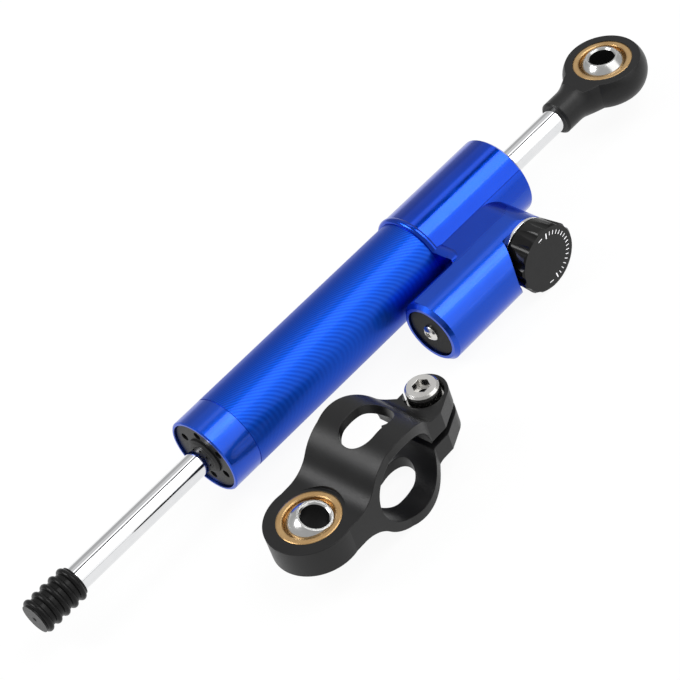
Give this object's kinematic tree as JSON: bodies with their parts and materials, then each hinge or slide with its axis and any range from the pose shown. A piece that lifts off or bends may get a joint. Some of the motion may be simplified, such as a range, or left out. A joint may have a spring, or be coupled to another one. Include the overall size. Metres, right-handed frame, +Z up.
{
  "type": "steering damper",
  "caption": "Blue anodised motorcycle steering damper with a through rod, damping knob, rod end with ball joint, rubber end stop, and a loose black tube clamp with ball joint.",
  "frame": {"origin": "centre of the rod end's ball, on the damper's axis", "axes": "+X along the damper towards the rod end, +Z up from the surface it lies on, the damping knob faces -Y"},
  "size_m": [0.3357, 0.0965, 0.04],
  "materials": {
    "blue_anodised": "anodised, gloss",
    "black_anodised": "anodised, satin",
    "dark_gland": "anodised, satin",
    "chrome_rod": "hard chrome, polished",
    "bearing_steel": "polished",
    "bolt_steel": "plated, bright",
    "plain_steel": "machined",
    "brass": "machined, satin",
    "rubber_black": "satin",
    "seal_rubber": "matte",
    "knob_black": "gloss flutes, satin face",
    "guide_plastic": "machined",
    "silver_ring": "bright"
  },
  "bodies": {
    "damper": {"damper_tube": "blue_anodised", "tube_o_ring": "seal_rubber", "end_collar": "blue_anodised", "lower_gland": "dark_gland", "lower_gland_o_ring": "seal_rubber", "lower_guide_bush": "guide_plastic", "lower_rod_seal": "seal_rubber", "lower_wiper": "seal_rubber", "upper_gland": "dark_gland", "upper_gland_o_ring": "seal_rubber", "upper_guide_bush": "guide_plastic", "upper_rod_seal": "seal_rubber", "upper_wiper": "seal_rubber", "adjuster_housing": "blue_anodised", "chamber_plug": "black_anodised", "chamber_plug_o_ring": "seal_rubber", "bleed_screw": "bolt_steel", "detent_ring": "silver_ring", "spindle_bush": "plain_steel", "spindle_o_ring": "seal_rubber", "needle_seat": "brass"},
    "band": {"piston_band": "guide_plastic"},
    "rod": {"piston_rod": "chrome_rod", "piston": "plain_steel", "piston_circlips": "plain_steel", "rubber_stop": "rubber_black", "rod_end": "black_anodised", "rod_end_race": "brass"},
    "rod_ball": {"rod_end_ball": "bearing_steel"},
    "knob": {"damping_knob": "knob_black", "knob_spindle": "plain_steel", "knob_grub_screw": "plain_steel", "detent_sleeve": "plain_steel", "detent_ball": "bearing_steel"},
    "needle": {"metering_needle": "plain_steel"},
    "compensator": {"floating_piston": "plain_steel", "floating_piston_o_ring": "seal_rubber"},
    "clamp": {"clamp_bracket": "black_anodised", "clamp_race": "brass", "clamp_bolt": "bolt_steel", "clamp_washer": "bolt_steel"},
    "bracket_ball": {"clamp_ball": "bearing_steel"}
  },
  "joints": [
    {"name": "rod_stroke", "type": "slide", "parent": "damper", "child": "band", "axis": [1, 0, 0], "range_m": [-0.034, 0.065]},
    {"name": "rod_turn", "type": "hinge", "parent": "band", "child": "rod", "pos_m": [-0.166, 0, 0], "axis": [1, 0, 0], "continuous": true},
    {"name": "rod_ball_tilt", "type": "hinge", "parent": "rod", "child": "rod_ball", "pos_m": [0, 0, 0], "axis": [-0.5736, 0.8192, 0], "range_deg": [-18, 12]},
    {"name": "knob_turn", "type": "hinge", "parent": "damper", "child": "knob", "pos_m": [-0.0913, -0.0357, -0.0033], "axis": [0, -1, 0], "range_deg": [-150, 150]},
    {"name": "needle_travel", "type": "slide", "parent": "damper", "child": "needle", "axis": [0, -1, 0], "range_m": [-0.00061, 0.00061]},
    {"name": "compensator_travel", "type": "slide", "parent": "damper", "child": "compensator", "axis": [1, 0, 0], "range_m": [-0.005, 0.005]},
    {"name": "clamp_lift", "type": "slide", "parent": "damper", "child": "clamp", "axis": [0, 0, 1], "range_m": [0, 0.05]},
    {"name": "bracket_ball_tilt", "type": "hinge", "parent": "clamp", "child": "bracket_ball", "pos_m": [-0.2376, -0.0622, 0.0026], "axis": [0.8829, 0.4695, 0], "range_deg": [-42, 1]}
  ],
  "couplings": [
    {"joint": "needle_travel", "follows": "knob_turn", "m_per_rad": 0.000229}
  ]
}
